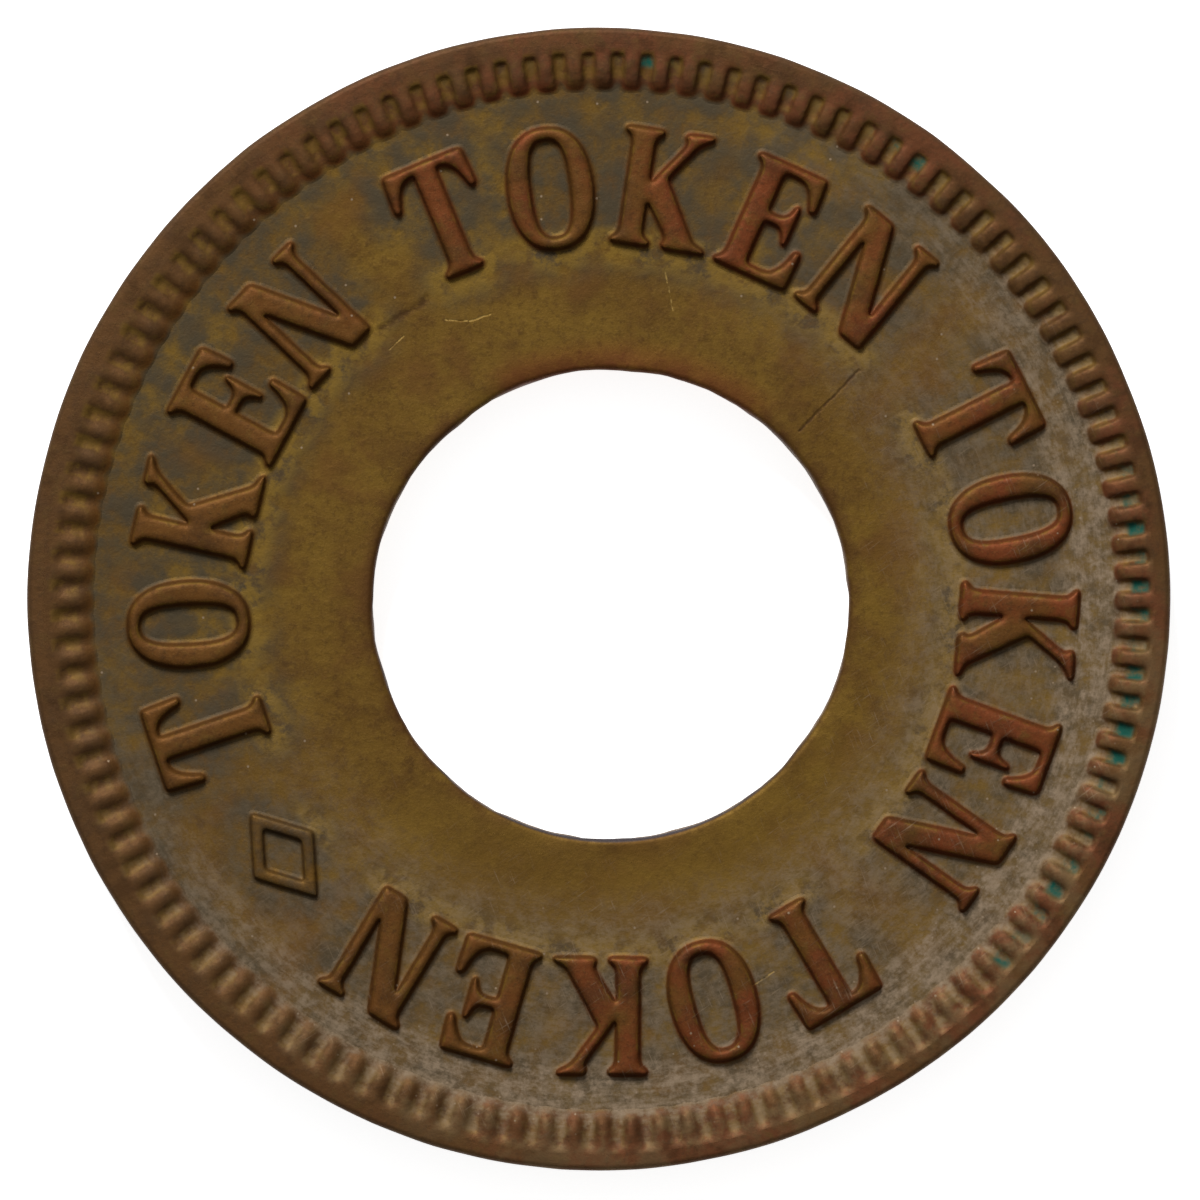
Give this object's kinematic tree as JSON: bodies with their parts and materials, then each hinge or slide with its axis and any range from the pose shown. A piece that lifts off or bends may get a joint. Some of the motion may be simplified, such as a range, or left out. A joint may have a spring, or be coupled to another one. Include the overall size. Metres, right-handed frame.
{
  "type": "holed coin-machine token",
  "caption": "Flat round struck brass token with a large, slightly off-centre hole, a toothed border inside a raised rim, and raised capitals round both faces.",
  "frame": {"origin": "middle of the outer edge's circle, on the plane that the back rim rests on", "axes": "+Z out of the front face, along the thickness; +Y towards the front's 12 o'clock; +X to its right"},
  "size_m": [0.0212, 0.0212, 0.0017],
  "materials": {
    "field_brass": "olive-brown toned brass with a dusty bloom",
    "relief_brass": "reddish-brown toned brass, worn smooth",
    "border_brass": "dark brown toned brass with specks of verdigris"
  },
  "bodies": {
    "root": {"blank": "field_brass", "front_rim": "border_brass", "front_denticles": "border_brass", "front_lozenge": "field_brass", "front_word_left": "relief_brass", "front_word_top": "relief_brass", "front_word_right": "relief_brass", "front_word_bottom": "relief_brass", "back_rim": "border_brass", "back_denticles": "border_brass", "back_lozenge": "field_brass", "back_word_left": "relief_brass", "back_word_top": "relief_brass", "back_word_right": "relief_brass", "back_word_bottom": "relief_brass"}
  },
  "joints": []
}
